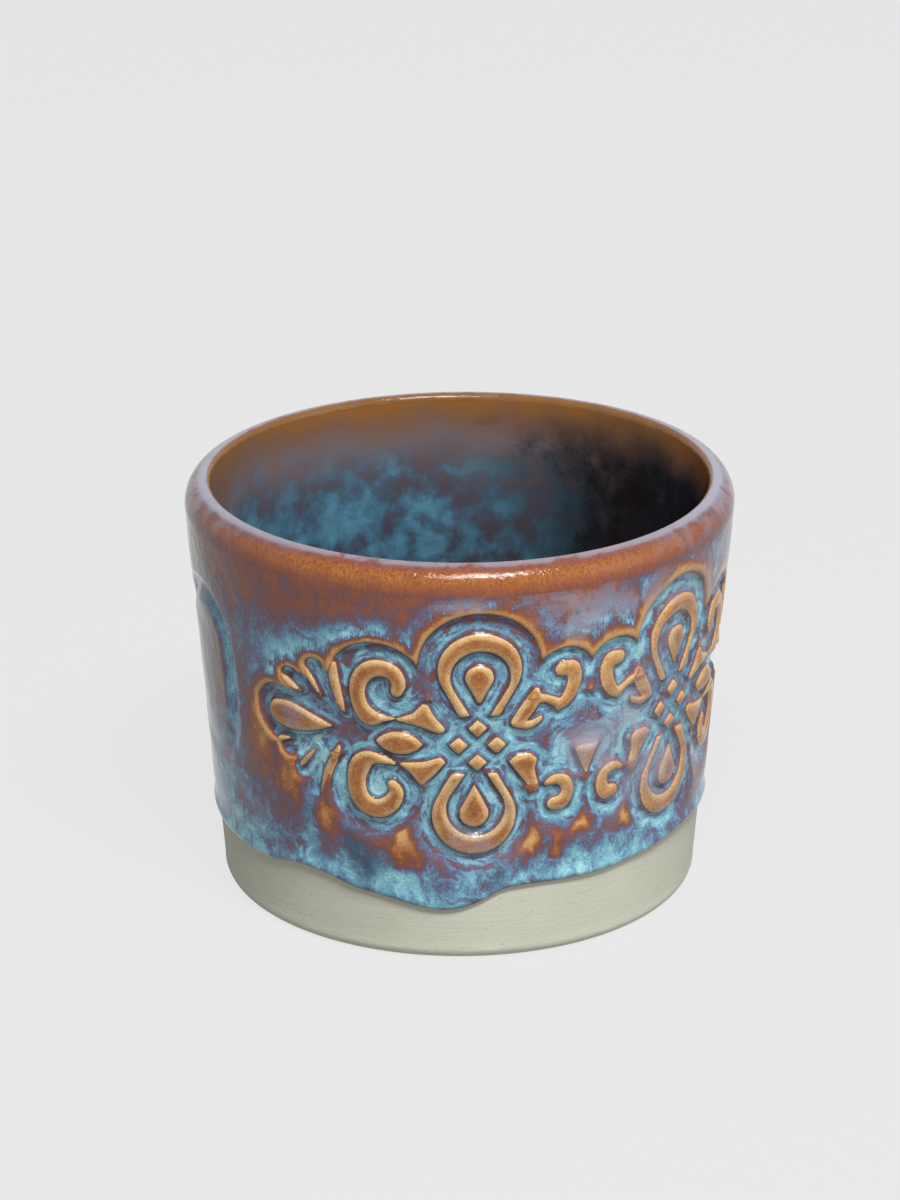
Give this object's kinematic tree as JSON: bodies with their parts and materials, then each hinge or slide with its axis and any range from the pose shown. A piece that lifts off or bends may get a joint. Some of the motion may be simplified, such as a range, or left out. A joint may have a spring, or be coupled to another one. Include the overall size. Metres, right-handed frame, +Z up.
{
  "type": "espresso cup",
  "caption": "Small handleless espresso cup of hand-built stoneware: flared wall with a pressed scroll ornament, floor disc, bare clay foot, and glossy glaze inside and out.",
  "frame": {"origin": "middle of the foot, on the table", "axes": "+Z up along the cup's axis, out of its mouth; -Y towards the side that is seen first"},
  "size_m": [0.072, 0.072, 0.0555],
  "materials": {
    "clay": "bare fired stoneware, matt, pale grey-beige with fine specks",
    "slip": "fired slip in the joints, matt, a little darker than the clay",
    "outside_glaze": "glossy running glaze: turquoise and violet-blue in the sunk ground, amber and plum where it is thin",
    "inside_glaze": "glossy dark brown glaze with teal pools, amber under the lip"
  },
  "bodies": {
    "root": {"wall_slab": "clay", "floor_disc": "clay", "floor_slip": "slip", "seam_slip": "slip", "corner_coil": "clay", "outside_glaze": "outside_glaze", "inside_glaze": "inside_glaze"}
  },
  "joints": []
}
